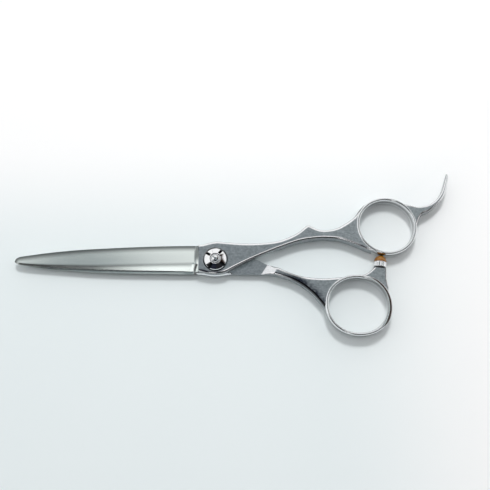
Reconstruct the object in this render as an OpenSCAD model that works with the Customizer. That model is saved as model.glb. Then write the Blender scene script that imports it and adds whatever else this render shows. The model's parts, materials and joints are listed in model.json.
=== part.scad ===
// Hair cutting shears, lying closed on a table, in millimetres.
// The origin is on the pivot axis at table height. +X runs to the rings, +Z is up.

/* [Layers] */
// Height of the rings above the table
ring_h = 5.6; // [5.2:0.1:6.4]
// Gap between the handles' flat faces and the ring faces
face_drop = 0.4; // [0.3:0.05:0.6]
// Gap between the two blades' inner faces
parting_gap = 0.04; // [0.02:0.01:0.1]

/* [Rings] */
// Centre of the finger hole
finger_c = [70.8, 14.6]; // [10:0.1:90]
// Radius of the finger hole
finger_r = 11; // [10.5:0.1:11.2]
// Wall of the finger ring
finger_wall = 1.7; // [1.4:0.1:2]
// Centre of the thumb hole
thumb_c = [57.2, -18.75]; // [-30:0.05:80]
// Half length and half width of the thumb hole
thumb_half = [11.65, 10.9]; // [10:0.05:13]
// Wall of the thumb ring at its sides
thumb_wall = [1.85, 1.6]; // [1.4:0.05:2.2]
// Chamfer on the rings' edges
ring_chamfer = 0.4; // [0.2:0.05:0.6]

/* [Pivot] */
// Radius of the bolt's journal
journal_r = 2.4; // [2:0.05:2.5]
// Side of the bolt's square key
key_side = 4.2; // [3.8:0.1:4.4]
// Radius of the bolt's flat head
head_r = 4.2; // [3.8:0.1:4.5]
// Radius of the tension dial
dial_r = 4.6; // [4.4:0.05:4.65]
// Radius of the dial's recess in the still blade
recess_r = 5; // [4.95:0.05:5.1]
// Width of the dial's slots
slot_w = 1; // [0.6:0.1:1.2]
// Radial clearance of a turning fit
running_fit = 0.05; // [0.02:0.01:0.08]

/* [Bumper] */
// Foot of the bumper's axis on its boss
bumper_foot = [67.05, -3.6]; // [-5:0.05:70]
// Lean of the bumper's axis from +Y towards +X
bumper_lean = 8; // [6:0.5:10]
// Radius of the fluted sleeve
sleeve_r = 2.6; // [2.4:0.05:2.7]
// Radius of the rubber tip
tip_r = 2.5; // [2.3:0.05:2.6]

/* [Hidden] */
$fn = 64;

part_z = ring_h / 2;
top_z = ring_h - face_drop;
low_z = face_drop;
still_z = part_z + parting_gap / 2;
past = 1;
curve_steps = 5;
section_steps = 3;

// Blade sections, from the nose to the pivot plate. Each row holds x, the still
// blade's cutting edge y, the moving blade's cutting edge y (turned over), the
// ridge y, the spine y and the ridge's height above the inner face.
blade_rows = [
    [-82.3, 0.2, 0.1, -0.2, -0.55, 0.5],
    [-81.6, 1.2, 1.0, -0.5, -1.2, 0.75],
    [-80, 1.8, 1.6, -1.0, -1.8, 0.95],
    [-68, 3.5, 3.4, -2.1, -2.95, 1.25],
    [-57, 4.6, 4.3, -2.4, -3.45, 1.4],
    [-47, 5.2, 4.95, -2.6, -3.85, 1.55],
    [-37, 5.7, 5.3, -2.5, -4.15, 1.7],
    [-27, 6.1, 5.5, -2.3, -4.3, 1.8],
    [-17, 6.4, 5.6, -2.1, -4.4, 1.85],
    [-7, 6.5, 5.8, -1.8, -4.8, 1.9]
];
// Height of the spine's narrow flat
spine_h = 0.5;
// Thickness left along the cutting edge
edge_h = 0.08;

// Upper edge of the finger half, from the pivot plate to the finger ring
finger_upper = [
    [-9, 6.3], [-6, 6.35], [-3, 7.1], [0.5, 7.75], [5, 7.35], [12, 6.9], [19, 7.1],
    [25, 7.8], [30, 9.45], [34, 11.6], [36.6, 13.8], [38.4, 14.8], [40.3, 13.9],
    [43, 12.85], [46, 12.7], [50, 13.5], [54, 15.7], [57.5, 18.3], [60.3, 21.7],
    [62.5, 23.9], [64.8, 25.4]
];
// Lower edge of the finger half
finger_lower = [
    [-9, -4.85], [-6, -5.05], [-3, -5.75], [0.5, -6], [4, -5.35], [8, -3.2],
    [14, -0.15], [20, 2.5], [26, 4.95], [31, 6.8], [36, 8.3], [42, 9.1], [46, 9.2],
    [51, 8.75], [55, 7.5], [59, 5.85], [62, 4.4], [65.4, 3.3]
];
// Upper edge of the thumb half, from the pivot plate to the thumb ring
thumb_upper = [
    [-9, 4.85], [-6, 5.05], [-3, 5.75], [0.5, 6], [4, 5.35], [8, 3.6], [13, 1.6],
    [17.4, 0.2], [20.2, -1.3], [24.2, -2.8], [28.3, -4.7], [33, -6.5], [38, -7.5],
    [44, -7.85], [50, -7.5], [55, -6.9], [59, -6.45]
];
// Lower edge of the thumb half
thumb_lower = [
    [-9, -5.7], [-6, -5.75], [-3, -6.4], [0, -6.8], [3.4, -6.3], [6, -5.7],
    [12, -5.85], [18, -5.8], [22.5, -5.95], [26.2, -6.8], [30.2, -8.05], [34.2, -10.1],
    [38.1, -13.1], [41, -16.2], [43.9, -20]
];
// Web of the tang: inner side from the ring to the tip, then the outer side back
rest_inner = [
    [78.6, 24.2], [81, 23.8], [83.5, 23.15], [86, 23.1], [89, 23.8], [92, 25.7],
    [94.6, 28.8], [96.2, 32], [97.4, 35.4], [98.5, 38.7]
];
rest_outer = [
    [99.1, 38.9], [99.15, 37.2], [98.6, 34.4], [97.5, 31], [95.6, 27.2], [92.4, 23.9],
    [89.2, 21.4], [86.2, 20], [84.5, 17.8], [83.4, 14.9]
];
// Web under the bumper, from the ring's top round to its right side
boss_edge = [
    [58.9, -6.45], [60.8, -6.15], [62.8, -4.9], [64.62, -3.26], [69.48, -3.94],
    [69.25, -6.5], [69.2, -8.4], [69.6, -10.8], [70.1, -13.1]
];
// Where the web starts beside the ring
boss_x = 59;
boss_reach = 60;

// Lines where each half steps up from its thin plate to its full-height handle,
// from the outer end to the inner end. The thumb half's line is given turned over.
finger_step = [[18.6, 7.6], [21.1, 2.4]];
thumb_step = [[18.5, 6.2], [21.2, 1]];
// Length of the slope up the step
step_run = 4.4;
// Length that reaches past either end of a half from its step line
half_reach = 70;
// Lengths of a step line that carry it clear across a half
line_reach = 9;

oval_power = 2.1;
oval_steps = 72;
// Half of the ring wall's height that stays straight
ring_straight = ring_h / 2 - ring_chamfer;

// Pivot stack: heights above the table
head_top = 1;
washer_floor = 2.5;
recess_floor = 4.3;
spring_top = 4.62;
plate_top = 4.9;
dial_bottom = 4.95;
groove_top = 5.2;
dial_side_top = 5.4;
slot_floor = 5.45;
dial_rim_top = 5.8;
bolt_top = 5.93;
pocket_floor = 5.95;
dial_top = 6.8;
screw_top = 7;
slip = 0.02;
// Pivot stack: radii
bush_r = 3.2;
ride_r = 4.65;
ride_seat_r = 4.7;
spring_in = 2.5;
spring_out = 4.2;
plate_r = 4.3;
collar_r = 2;
flat_side = 3.2;
thread_r = 1.6;
screw_shank_r = 0.8;
screw_head_r = 2;
groove_in = 2.7;
groove_out = 3.9;
crown_out = 4.15;
crown_in = 2.35;

// Bumper: radii and places along its axis, from the boss upwards
stud_r = 0.9;
soft_washer_r = 2.45;
flute_r = 0.28;
flutes = 16;
flute_margin = 0.35;
stud_depth = 3;
soft_washer_h = 0.6;
sleeve_top = 3;
tip_centre = 3.3;
stud_top = 4.4;

// Point on a smooth curve between b and c, whose neighbours are a and d
function between(a, b, c, d, t) =
    0.5 * (2 * b + (c - a) * t + (2 * a - 5 * b + 4 * c - d) * t * t
    + (3 * b - a - 3 * c + d) * t * t * t);

// Smooth curve through the given points or rows
function smooth(p, n) = concat(
    [for (i = [0 : len(p) - 2]) for (j = [0 : n - 1])
        between(p[max(i - 1, 0)], p[i], p[i + 1], p[min(i + 2, len(p) - 1)], j / n)],
    [p[len(p) - 1]]
);

function reversed(p) = [for (i = [len(p) - 1 : -1 : 0]) p[i]];
function signed_power(v, e) = sign(v) * pow(abs(v), e);

// Slightly squared oval round the thumb hole, grown by a margin on each half axis
function oval(grow) = [for (i = [0 : oval_steps - 1])
    let (a = 360 * i / oval_steps)
    thumb_c + [
        (thumb_half[0] + grow[0]) * signed_power(cos(a), 2 / oval_power),
        (thumb_half[1] + grow[1]) * signed_power(sin(a), 2 / oval_power)
    ]];

// One blade section as [x, y, z] points: inner face, edge, ridge and spine
function section(row, edge_y) = [
    [row[0], row[4], 0], [row[0], edge_y, 0], [row[0], edge_y, edge_h],
    [row[0], row[3], row[5]], [row[0], row[4], spine_h]
];

// Solid through a list of equal-length point loops, with both ends closed
module loft(loops) {
    n = len(loops[0]);
    last = (len(loops) - 1) * n;
    walls = [for (s = [0 : len(loops) - 2]) for (i = [0 : n - 1])
        let (a = s * n + i, b = s * n + (i + 1) % n)
        each [[a, b + n, b], [a, a + n, b + n]]];
    first_end = [for (i = [0 : n - 1]) i];
    last_end = [for (i = [n - 1 : -1 : 0]) last + i];
    polyhedron(
        points = [for (l = loops) each l],
        faces = concat([first_end], walls, [last_end])
    );
}

// Ground blade lying on z = 0 with its cutting edge towards +Y
module blade(edge_column) {
    loft([for (row = smooth(blade_rows, section_steps)) section(row, row[edge_column])]);
}

// Area between an upper and a lower edge
module strip(upper, lower) {
    polygon(concat(smooth(upper, curve_steps), reversed(smooth(lower, curve_steps))));
}

// Direction from a step line towards the handle
function step_out(line) =
    let (run = line[1] - line[0])
    [-run[1], run[0]] / norm(run);

// Half plane on the handle side of a step line
module handle_side(line) {
    run = line[1] - line[0];
    far = step_out(line) * half_reach;
    near_end = line[0] - run * line_reach;
    far_end = line[1] + run * line_reach;
    polygon([near_end, far_end, far_end + far, near_end + far]);
}

// Wedge that slopes a shank's end face down to the parting plane
module step_ramp(line) {
    rise = top_z - part_z;
    out = step_out(line);
    reach = norm(line[1] - line[0]) * line_reach;
    translate([line[0][0], line[0][1], part_z])
        rotate([0, 0, atan2(out[1], out[0])])
            rotate([90, 0, 0])
                translate([0, 0, -reach])
                    linear_extrude(2 * reach)
                        polygon([[-past, 0], [0, 0], [step_run, rise],
                            [step_run, rise + past], [-past, rise + past]]);
}

module slab(z0, z1) {
    translate([0, 0, z0])
        linear_extrude(z1 - z0)
            children();
}

module post(r, z0, z1) {
    translate([0, 0, z0])
        cylinder(r = r, h = z1 - z0);
}

module washer(r_out, r_in, z0, z1) {
    difference() {
        post(r_out, z0, z1);
        post(r_in, z0 - past, z1 + past);
    }
}

// Turns a shape made for the upper layer over into the lower layer
module turned_over() {
    translate([0, 0, ring_h])
        rotate([180, 0, 0])
            children();
}

// Places a shape made along +Z onto the bumper's axis
module on_bumper_axis() {
    translate([bumper_foot[0], bumper_foot[1], part_z])
        rotate([0, 0, -bumper_lean])
            rotate([-90, 0, 0])
                children();
}

module still_blade() {
    color("silver")
    difference() {
        union() {
            translate([0, 0, still_z])
                blade(1);
            slab(still_z, top_z)
                difference() {
                    strip(finger_upper, finger_lower);
                    handle_side(finger_step);
                }
        }
        post(bush_r, 0, ring_h);
        post(recess_r, recess_floor, ring_h);
    }
}

module finger_shank() {
    color("lightsteelblue")
    difference() {
        slab(low_z, top_z)
            intersection() {
                strip(finger_upper, finger_lower);
                handle_side(finger_step);
            }
        translate([finger_c[0], finger_c[1], -past])
            cylinder(r = finger_r + finger_wall, h = ring_h + 2 * past);
        translate([0, 0, ring_h])
            mirror([0, 0, 1])
                step_ramp(finger_step);
    }
}

module finger_ring() {
    r_out = finger_r + finger_wall;
    color("gainsboro")
    translate([finger_c[0], finger_c[1], ring_h / 2])
        rotate_extrude($fn = 96)
            polygon([
                [finger_r, -ring_straight], [finger_r + ring_chamfer, -ring_h / 2],
                [r_out - ring_chamfer, -ring_h / 2], [r_out, -ring_straight],
                [r_out, ring_straight], [r_out - ring_chamfer, ring_h / 2],
                [finger_r + ring_chamfer, ring_h / 2], [finger_r, ring_straight]
            ]);
}

module finger_rest() {
    color("lightsteelblue")
    difference() {
        slab(low_z, top_z)
            polygon(concat(smooth(rest_inner, curve_steps), smooth(rest_outer, curve_steps),
                [finger_c]));
        translate([finger_c[0], finger_c[1], -past])
            cylinder(r = finger_r + finger_wall, h = ring_h + 2 * past);
    }
}

module moving_blade() {
    color("darkgray")
    difference() {
        union() {
            turned_over()
                translate([0, 0, still_z])
                    blade(2);
            slab(low_z, ring_h - still_z)
                difference() {
                    strip(thumb_upper, thumb_lower);
                    mirror([0, 1, 0])
                        handle_side(thumb_step);
                }
        }
        post(head_r + running_fit, -past, head_top);
        translate([-key_side / 2, -key_side / 2, 0])
            cube([key_side, key_side, ring_h]);
        post(ride_seat_r, washer_floor, ring_h);
    }
}

module thumb_shank() {
    color("slategray")
    difference() {
        slab(low_z, top_z)
            difference() {
                intersection() {
                    strip(thumb_upper, thumb_lower);
                    mirror([0, 1, 0])
                        handle_side(thumb_step);
                }
                polygon(oval(thumb_wall));
            }
        mirror([0, 1, 0])
            step_ramp(thumb_step);
    }
}

module thumb_ring() {
    in_grow = [ring_chamfer, ring_chamfer];
    out_shrink = thumb_wall - in_grow;
    loops = [
        for (s = [[[0, 0], -ring_straight], [in_grow, -ring_h / 2], [out_shrink, -ring_h / 2],
            [thumb_wall, -ring_straight], [thumb_wall, ring_straight],
            [out_shrink, ring_h / 2], [in_grow, ring_h / 2], [[0, 0], ring_straight]])
        [for (p = oval(s[0])) [p[0], p[1], s[1] + ring_h / 2]]
    ];
    n = oval_steps;
    rings = len(loops);
    color("gainsboro")
    polyhedron(
        points = [for (l = loops) each l],
        faces = [for (s = [0 : rings - 1]) for (i = [0 : n - 1])
            let (a = s * n + i, b = s * n + (i + 1) % n,
                c = ((s + 1) % rings) * n + (i + 1) % n, d = ((s + 1) % rings) * n + i)
            each [[a, c, b], [a, d, c]]]
    );
}

module bumper_boss() {
    color("slategray")
    difference() {
        slab(low_z, top_z)
            difference() {
                polygon(concat(boss_edge, [thumb_c]));
                translate([boss_x - boss_reach, -boss_reach])
                    square([boss_reach, boss_reach]);
                polygon(oval(thumb_wall));
            }
        on_bumper_axis()
            post(stud_r, -stud_depth, past);
    }
}

module bumper_washer() {
    color("black")
    on_bumper_axis()
        washer(soft_washer_r, stud_r, 0, soft_washer_h);
}

module bumper_sleeve() {
    color("silver")
    on_bumper_axis()
        difference() {
            washer(sleeve_r, stud_r, soft_washer_h, sleeve_top);
            for (i = [0 : flutes - 1])
                rotate([0, 0, 360 * i / flutes])
                    translate([sleeve_r + flute_r / 3, 0, 0])
                        post(flute_r, soft_washer_h + flute_margin, sleeve_top - flute_margin);
        }
}

module bumper_tip() {
    color("darkgoldenrod")
    on_bumper_axis()
        difference() {
            union() {
                post(tip_r, sleeve_top, tip_centre);
                translate([0, 0, tip_centre])
                    intersection() {
                        sphere(r = tip_r);
                        post(tip_r, 0, tip_r + past);
                    }
            }
            post(stud_r, 0, stud_top);
        }
}

module bumper_stud() {
    color("gray")
    on_bumper_axis()
        post(stud_r, -stud_depth, stud_top);
}

module pivot_bolt() {
    head_chamfer = 0.3;
    color("dimgray")
    difference() {
        union() {
            rotate_extrude()
                polygon([[0, 0], [head_r - head_chamfer, 0], [head_r, head_chamfer],
                    [head_r, head_top], [0, head_top]]);
            translate([-key_side / 2, -key_side / 2, head_top])
                cube([key_side, key_side, washer_floor - head_top]);
            post(journal_r, washer_floor, spring_top);
            intersection() {
                post(collar_r, spring_top, plate_top);
                translate([-flat_side / 2, -collar_r, 0])
                    cube([flat_side, 2 * collar_r, ring_h]);
            }
            post(thread_r, plate_top, bolt_top);
        }
        post(screw_shank_r, recess_floor, ring_h + past);
    }
}

module pivot_bush() {
    color("goldenrod")
    washer(bush_r, journal_r + running_fit, still_z + slip, recess_floor);
}

module ride_washer() {
    color("white")
    washer(ride_r, journal_r + running_fit, washer_floor, part_z);
}

module spring_washer() {
    thick = 0.16;
    color("lightgray")
    rotate_extrude()
        polygon([
            [spring_out, recess_floor + slip], [spring_out, recess_floor + slip + thick],
            [spring_in, spring_top - slip], [spring_in, spring_top - slip - thick]
        ]);
}

module click_plate() {
    color("darkgray")
    difference() {
        post(plate_r, spring_top, plate_top);
        intersection() {
            post(collar_r, 0, ring_h);
            translate([-flat_side / 2, -collar_r, 0])
                cube([flat_side, 2 * collar_r, ring_h]);
        }
    }
}

module click_spring() {
    leaf_t = 0.16;
    leaf_in = 2.95;
    leaf_out = 3.65;
    sweep = 100;
    nib_r = 0.3;
    nib_gap = 0.06;
    color("orange")
    union() {
        difference() {
            washer(leaf_out, leaf_in, plate_top, plate_top + leaf_t);
            translate([-ring_h, -ring_h * 2, 0])
                cube([ring_h * 2, ring_h * 2, ring_h * 2]);
            rotate([0, 0, sweep])
                translate([-ring_h, 0, 0])
                    cube([ring_h * 2, ring_h * 2, ring_h * 2]);
        }
        rotate([0, 0, sweep / 2])
            translate([(leaf_in + leaf_out) / 2, 0, plate_top])
                cylinder(r = nib_r, h = groove_top - plate_top - nib_gap);
    }
}

module tension_dial() {
    slots = 4;
    slot_turn = 55;
    slot_start = 0.4;
    bevel = 0.3;
    notches = 24;
    notch_r = 0.2;
    notch_depth = 0.1;
    color("silver")
    difference() {
        rotate_extrude($fn = 96)
            polygon([
                [thread_r + running_fit, dial_bottom], [dial_r - bevel, dial_bottom],
                [dial_r, dial_bottom + bevel], [dial_r, dial_side_top],
                [crown_out, dial_rim_top], [crown_in, dial_top],
                [screw_head_r + running_fit, dial_top], [screw_head_r + running_fit, pocket_floor],
                [thread_r + running_fit, pocket_floor]
            ]);
        difference() {
            post(groove_out, 0, groove_top);
            post(groove_in, 0, groove_top);
        }
        for (i = [0 : notches - 1])
            rotate([0, 0, 360 * (i + 0.5) / notches])
                translate([(groove_in + groove_out) / 2, 0, groove_top - past])
                    cylinder(r = notch_r, h = past + notch_depth, $fn = 16);
        for (i = [0 : slots - 1])
            rotate([0, 0, slot_turn + 360 * i / slots])
                translate([screw_head_r + slot_start, -slot_w / 2, slot_floor])
                    cube([dial_r, slot_w, past * 2]);
    }
}

module dial_screw() {
    head_bottom = pocket_floor + slip;
    slot_depth = 0.35;
    driver_slot_w = 0.5;
    side_drop = 0.35;
    shoulder = [1.5, 0.06];
    flat_r = 0.8;
    color("gainsboro")
    difference() {
        union() {
            post(screw_shank_r, recess_floor, head_bottom);
            rotate_extrude()
                polygon([[0, head_bottom], [screw_head_r, head_bottom],
                    [screw_head_r, screw_top - side_drop], [shoulder[0], screw_top - shoulder[1]],
                    [flat_r, screw_top], [0, screw_top]]);
        }
        translate([-driver_slot_w / 2, -screw_head_r, screw_top - slot_depth])
            cube([driver_slot_w, 2 * screw_head_r, past]);
    }
}

still_blade();
finger_shank();
finger_ring();
finger_rest();
moving_blade();
thumb_shank();
thumb_ring();
bumper_boss();
bumper_washer();
bumper_sleeve();
bumper_tip();
bumper_stud();
pivot_bolt();
pivot_bush();
ride_washer();
spring_washer();
click_plate();
click_spring();
tension_dial();
dial_screw();
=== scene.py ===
"""Hair cutting shears on a pale table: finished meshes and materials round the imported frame.

Shapes are worked out in millimetres, in the frame's own axes, and made into meshes in metres.
The thumb half is shaped as if it were turned over into the upper layer, then turned back.
"""
import json
import math

import bmesh
import bpy
import numpy as np
from mathutils import Euler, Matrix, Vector


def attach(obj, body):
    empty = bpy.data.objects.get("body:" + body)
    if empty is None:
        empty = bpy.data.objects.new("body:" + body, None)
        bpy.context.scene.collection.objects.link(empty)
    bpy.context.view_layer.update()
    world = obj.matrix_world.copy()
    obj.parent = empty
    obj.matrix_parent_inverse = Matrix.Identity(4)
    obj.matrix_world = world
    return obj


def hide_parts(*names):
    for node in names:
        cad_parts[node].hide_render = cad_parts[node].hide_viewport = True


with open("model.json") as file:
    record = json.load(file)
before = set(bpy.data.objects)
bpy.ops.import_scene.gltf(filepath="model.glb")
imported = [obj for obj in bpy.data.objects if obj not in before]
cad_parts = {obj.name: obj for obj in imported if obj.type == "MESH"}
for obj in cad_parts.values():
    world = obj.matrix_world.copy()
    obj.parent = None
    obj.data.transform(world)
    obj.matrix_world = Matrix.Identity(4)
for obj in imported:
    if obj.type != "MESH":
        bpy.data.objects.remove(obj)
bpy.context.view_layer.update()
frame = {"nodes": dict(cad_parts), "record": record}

MM = 0.001

# Heights of the layers: the halves part at PART_Z and pass each other with a hair of air
RING_H = 5.6
PART_Z = RING_H / 2
STILL_Z = PART_Z + 0.02
TOP_Z = 5.2
LOW_Z = RING_H - TOP_Z

# Rings
FINGER_C = np.array([70.8, 14.6])
FINGER_R = 11.0
FINGER_WALL = 1.7
THUMB_C = np.array([57.2, -18.75])
THUMB_HALF = np.array([11.65, 10.9])
THUMB_WALL = np.array([1.85, 1.6])
OVAL_POWER = 2.1
# Section of a ring's bead: squareness of the round one and of the flat-topped one, and how
# much the flat top falls outwards
BEAD_POWER = 2.7
FLAT_POWER = 10.0
FLAT_FALL = 0.055

# Pivot
BUSH_R = 3.2
RECESS_R = 4.85
RECESS_FLOOR = 4.3
RECESS_LIP = 0.2
COUNTERBORE_R = 4.25
COUNTERBORE_TOP = 1.0
WASHER_SEAT_R = 4.7
WASHER_FLOOR = 2.5
KEY_HALF = 2.1
# Polished ring round the recess: the recess, its lip and a hair more
RECESS_EDGE = 5.06
# Sharp angle that keeps the flats round a cut clean
FLAT_SHARP = 20

# Dial: its rim, the cone of its crown, and its four slots
DIAL_R = 4.6
CROWN_R = 4.38
CROWN_Z = 5.82
CROWN_RUN = 2.06
CROWN_FALL = 0.432
SLOT_TURN = 55
SLOT_START = 2.5
SLOT_W = 1.1
SLOT_FLOOR = 5.3
# Where the dial's slots are painted dark as shade: from this radius out, and above this height
SLOT_SHADE_R = 2.25
SLOT_SHADE_Z = 5.15

# Bumper
BUMPER_FOOT = np.array([67.05, -3.6, PART_Z])
BUMPER_LEAN = math.radians(8)
BUMPER_BORE = 0.9
WASHER_H = 0.8
SLEEVE_TOP = 3.0
DOME_R = 2.5
FLUTES = 16
FLUTE_DEPTH = 0.06

# Dressed width along the edges of the handles, and of the webs
EDGE_R = 0.95
WEB_EDGE_R = 0.62

# Blade rows: x, cutting edge y (still half), cutting edge y (thumb half, turned over),
# ridge y, spine y, ridge height
BLADE_ROWS = [
    [-82.3, -0.2, -0.2, -0.2, -0.2, 0.4],
    [-82.22, 0.25, 0.2, -0.25, -0.55, 0.45],
    [-81.95, 0.75, 0.6, -0.35, -0.95, 0.55],
    [-81.3, 1.3, 1.1, -0.6, -1.35, 0.75],
    [-80.0, 1.75, 1.6, -1.0, -1.75, 0.95],
    [-75.0, 2.55, 2.45, -1.6, -2.35, 1.1],
    [-68.0, 3.5, 3.4, -2.1, -2.95, 1.25],
    [-57.0, 4.6, 4.3, -2.4, -3.45, 1.4],
    [-47.0, 5.2, 4.95, -2.6, -3.85, 1.55],
    [-37.0, 5.7, 5.3, -2.5, -4.15, 1.7],
    [-27.0, 6.1, 5.5, -2.3, -4.3, 1.8],
    [-17.0, 6.35, 5.6, -2.1, -4.4, 1.85],
    [-10.0, 6.4, 5.7, -1.9, -4.6, 1.9],
]
EDGE_H = 0.08
BEVEL_SLOPE = 0.6

FINGER_UPPER = [
    [-6, 6.35], [-3, 7.1], [0.5, 7.7], [5, 7.35], [12, 6.9], [19, 7.1], [25, 7.8],
    [30, 9.45], [34, 11.6], [36.6, 13.8], [38.4, 14.8], [40.3, 13.9], [43, 12.85],
    [46, 12.7], [50, 13.5], [54, 15.7], [57.5, 18.3], [60.3, 21.7], [62.5, 23.9],
    [64.8, 25.4],
]
FINGER_LOWER = [
    [-6, -5.05], [-3, -5.75], [0.5, -6], [4, -5.35], [8, -3.2], [14, -0.15], [20, 2.5],
    [26, 4.95], [31, 6.8], [36, 8.3], [42, 9.1], [46, 9.2], [51, 8.75], [55, 7.5],
    [59, 5.85], [62, 4.4], [65.4, 3.3],
]
# The thumb half's edges, turned over: its outer edge is the upper one here
THUMB_UPPER = [
    [-6, 5.6], [-3, 6.05], [0, 6.35], [3.4, 5.95], [6, 5.6], [12, 5.8], [18, 5.8],
    [22.5, 5.95], [26.2, 6.8], [30.2, 8.05], [34.2, 10.1], [38.1, 13.1], [41, 16.2],
    [43.9, 20],
]
THUMB_LOWER = [
    [-6, -5.05], [-3, -5.75], [0.5, -6], [4, -5.35], [8, -3.6], [13, -1.6], [17.4, -0.2],
    [20.2, 1.3], [24.2, 2.8], [28.3, 4.7], [33, 6.5], [38, 7.5], [44, 7.85], [50, 7.5],
    [55, 6.9], [59, 6.45],
]
# Tang edges, from the finger ring to the tip
REST_INNER = [
    [78.6, 24.2], [81, 23.8], [83.5, 23.15], [86, 23.1], [89, 23.8], [92, 25.7],
    [94.6, 28.8], [96.2, 32], [97.4, 35.4], [98.5, 38.7],
]
REST_OUTER = [
    [83.4, 14.9], [84.5, 17.8], [86.2, 20], [89.2, 21.4], [92.4, 23.9], [95.6, 27.2],
    [97.4, 31], [98.5, 34.4], [99.1, 37.2], [99.1, 38.8],
]
# Bumper web edges, from the thumb ring to the bumper's seat
BOSS_LEFT = [[58.4, -6.6], [60.8, -6.15], [62.8, -4.9], [64.62, -3.26]]
BOSS_RIGHT = [[70.2, -13.6], [69.55, -10.8], [69.2, -8.4], [69.25, -6.4], [69.48, -3.94]]

# Lines where each half steps up to its full-height handle, outer end then inner end
FINGER_STEP = [[18.6, 7.1], [21.1, 2.9]]
THUMB_STEP = [[18.5, 5.8], [21.2, 1.8]]
STEP_RUN = 4.4

# Where the grinding starts to run out and where the pivot plate begins
RUNOUT = (-9.0, -6.8)
# Hollow inside the blades: slope from the cutting edge, and depth
HOLLOW_SLOPE = 0.12
HOLLOW = 0.16
# The thumb half's outer edge: chamfer at the pivot (width, slope), soft bevel on the handle
CHAMFER_W = 0.5
CHAMFER_SLOPE = 1.6
SOFT_W = 3.6
SOFT_DEPTH = 0.32


# ---- Curves -------------------------------------------------------------------------

def smooth(points, n):
    """Smooth curve through given points, with n steps between neighbours."""
    p = np.array(points, float)
    last = len(p) - 1
    out = []
    for i in range(last):
        a, b, c, d = p[max(i - 1, 0)], p[i], p[i + 1], p[min(i + 2, last)]
        for j in range(n):
            t = j / n
            out.append(0.5 * (2 * b + (c - a) * t + (2 * a - 5 * b + 4 * c - d) * t ** 2
                              + (3 * b - a - 3 * c + d) * t ** 3))
    out.append(p[-1])
    return np.array(out)


def lengths(curve):
    """Length along a curve at each of its points."""
    return np.concatenate([[0], np.cumsum(np.linalg.norm(np.diff(curve, axis=0), axis=1))])


def stations(curve, keys, counts):
    """Points along a curve, with a set count of even steps between its key points."""
    run = lengths(curve)
    marks = [run[np.argmin(np.linalg.norm(curve - np.array(k), axis=1))] for k in keys]
    at = [marks[0]]
    for a, b, n in zip(marks, marks[1:], counts):
        at += list(a + (b - a) * np.arange(1, n + 1) / n)
    return np.stack([np.interp(at, run, curve[:, k]) for k in range(curve.shape[1])], 1)


def oval(centre, half, angle):
    """Point on a slightly squared oval at an angle in radians."""
    c, s = np.cos(angle), np.sin(angle)
    e = 2 / OVAL_POWER
    return np.stack([centre[0] + half[0] * np.sign(c) * np.abs(c) ** e,
                     centre[1] + half[1] * np.sign(s) * np.abs(s) ** e], -1)


def ease(x, lo, hi):
    """0 below lo, 1 above hi, smooth between."""
    t = np.clip((x - lo) / (hi - lo), 0, 1)
    return t * t * (3 - 2 * t)


def from_line(p, line):
    """Distance of each point from an open line of points."""
    a, run = line[:-1], np.diff(line, axis=0)
    size = np.maximum((run ** 2).sum(1), 1e-12)
    out = np.empty(p.shape[:2])
    for i, row in enumerate(p):
        gap = row[:, None] - a
        t = np.clip((gap * run).sum(-1) / size, 0, 1)
        out[i] = np.linalg.norm(gap - t[..., None] * run, axis=-1).min(1)
    return out


# Dressed edges: a round over the outer share of the width, then a facet of this many degrees
FACET = 11
FACET_TAN = math.tan(math.radians(FACET))
FACET_SIN = math.sin(math.radians(FACET))
ROUND_SHARE = 0.6


def fall(d, r):
    """Drop of a dressed edge of width r, at distance d inside the outline."""
    r = np.maximum(r, 1e-6)
    turn = ROUND_SHARE * r / (1 - FACET_SIN)
    arc = np.sqrt(np.maximum(turn ** 2 - np.clip(turn - d, 0, turn) ** 2, 0))
    start = turn * math.sqrt(1 - FACET_SIN ** 2)
    facet = FACET_TAN * np.clip(r - np.maximum(d, ROUND_SHARE * r), 0, None)
    return facet + np.where(d < ROUND_SHARE * r, start - arc, 0)


# ---- Meshes -------------------------------------------------------------------------

def mesh_of(name, verts, faces, marks=None):
    """Clean mesh from millimetre points, with the marks that its material reads."""
    mesh = bpy.data.meshes.new(name)
    mesh.from_pydata((np.asarray(verts) * MM).tolist(), [], faces)
    for key, values in (marks or {}).items():
        flat = np.asarray(values, float)
        kind = "FLOAT" if flat.ndim == 1 else "FLOAT_VECTOR"
        attribute = mesh.attributes.new(key, kind, "POINT")
        attribute.data.foreach_set("value" if flat.ndim == 1 else "vector", flat.ravel())
    bm = bmesh.new()
    bm.from_mesh(mesh)
    bmesh.ops.remove_doubles(bm, verts=bm.verts, dist=1e-7)
    bmesh.ops.dissolve_degenerate(bm, dist=1e-8, edges=bm.edges)
    bmesh.ops.recalc_face_normals(bm, faces=bm.faces)
    bm.to_mesh(mesh)
    bm.free()
    return mesh


def place_object(name, data):
    """Object of a mesh, a lamp or a camera, in the scene."""
    obj = bpy.data.objects.new(name, data)
    bpy.context.collection.objects.link(obj)
    return obj


# Slot of each piece made here, by name
SLOT_OF = {}


def piece(name, verts, faces, body, nodes, slot, marks=None, sharp=50):
    """A finished piece that rides on its body and stands for its CAD nodes."""
    mesh = mesh_of(name, verts, faces, marks)
    mesh.shade_smooth()
    mesh.set_sharp_from_angle(angle=math.radians(sharp))
    obj = place_object(name, mesh)
    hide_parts(*nodes)
    SLOT_OF[name] = slot
    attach(obj, body)
    return obj


def edge_steps(r, steps=9):
    """Distances inside the outline at which a dressed edge is drawn."""
    tilt = np.linspace(math.pi / 2, math.radians(FACET), steps)
    turn = ROUND_SHARE * r / (1 - FACET_SIN)
    return np.concatenate([turn * (1 - np.sin(tilt)), r * np.array([0.64, 0.95, 1.0, 1.05])])


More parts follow.
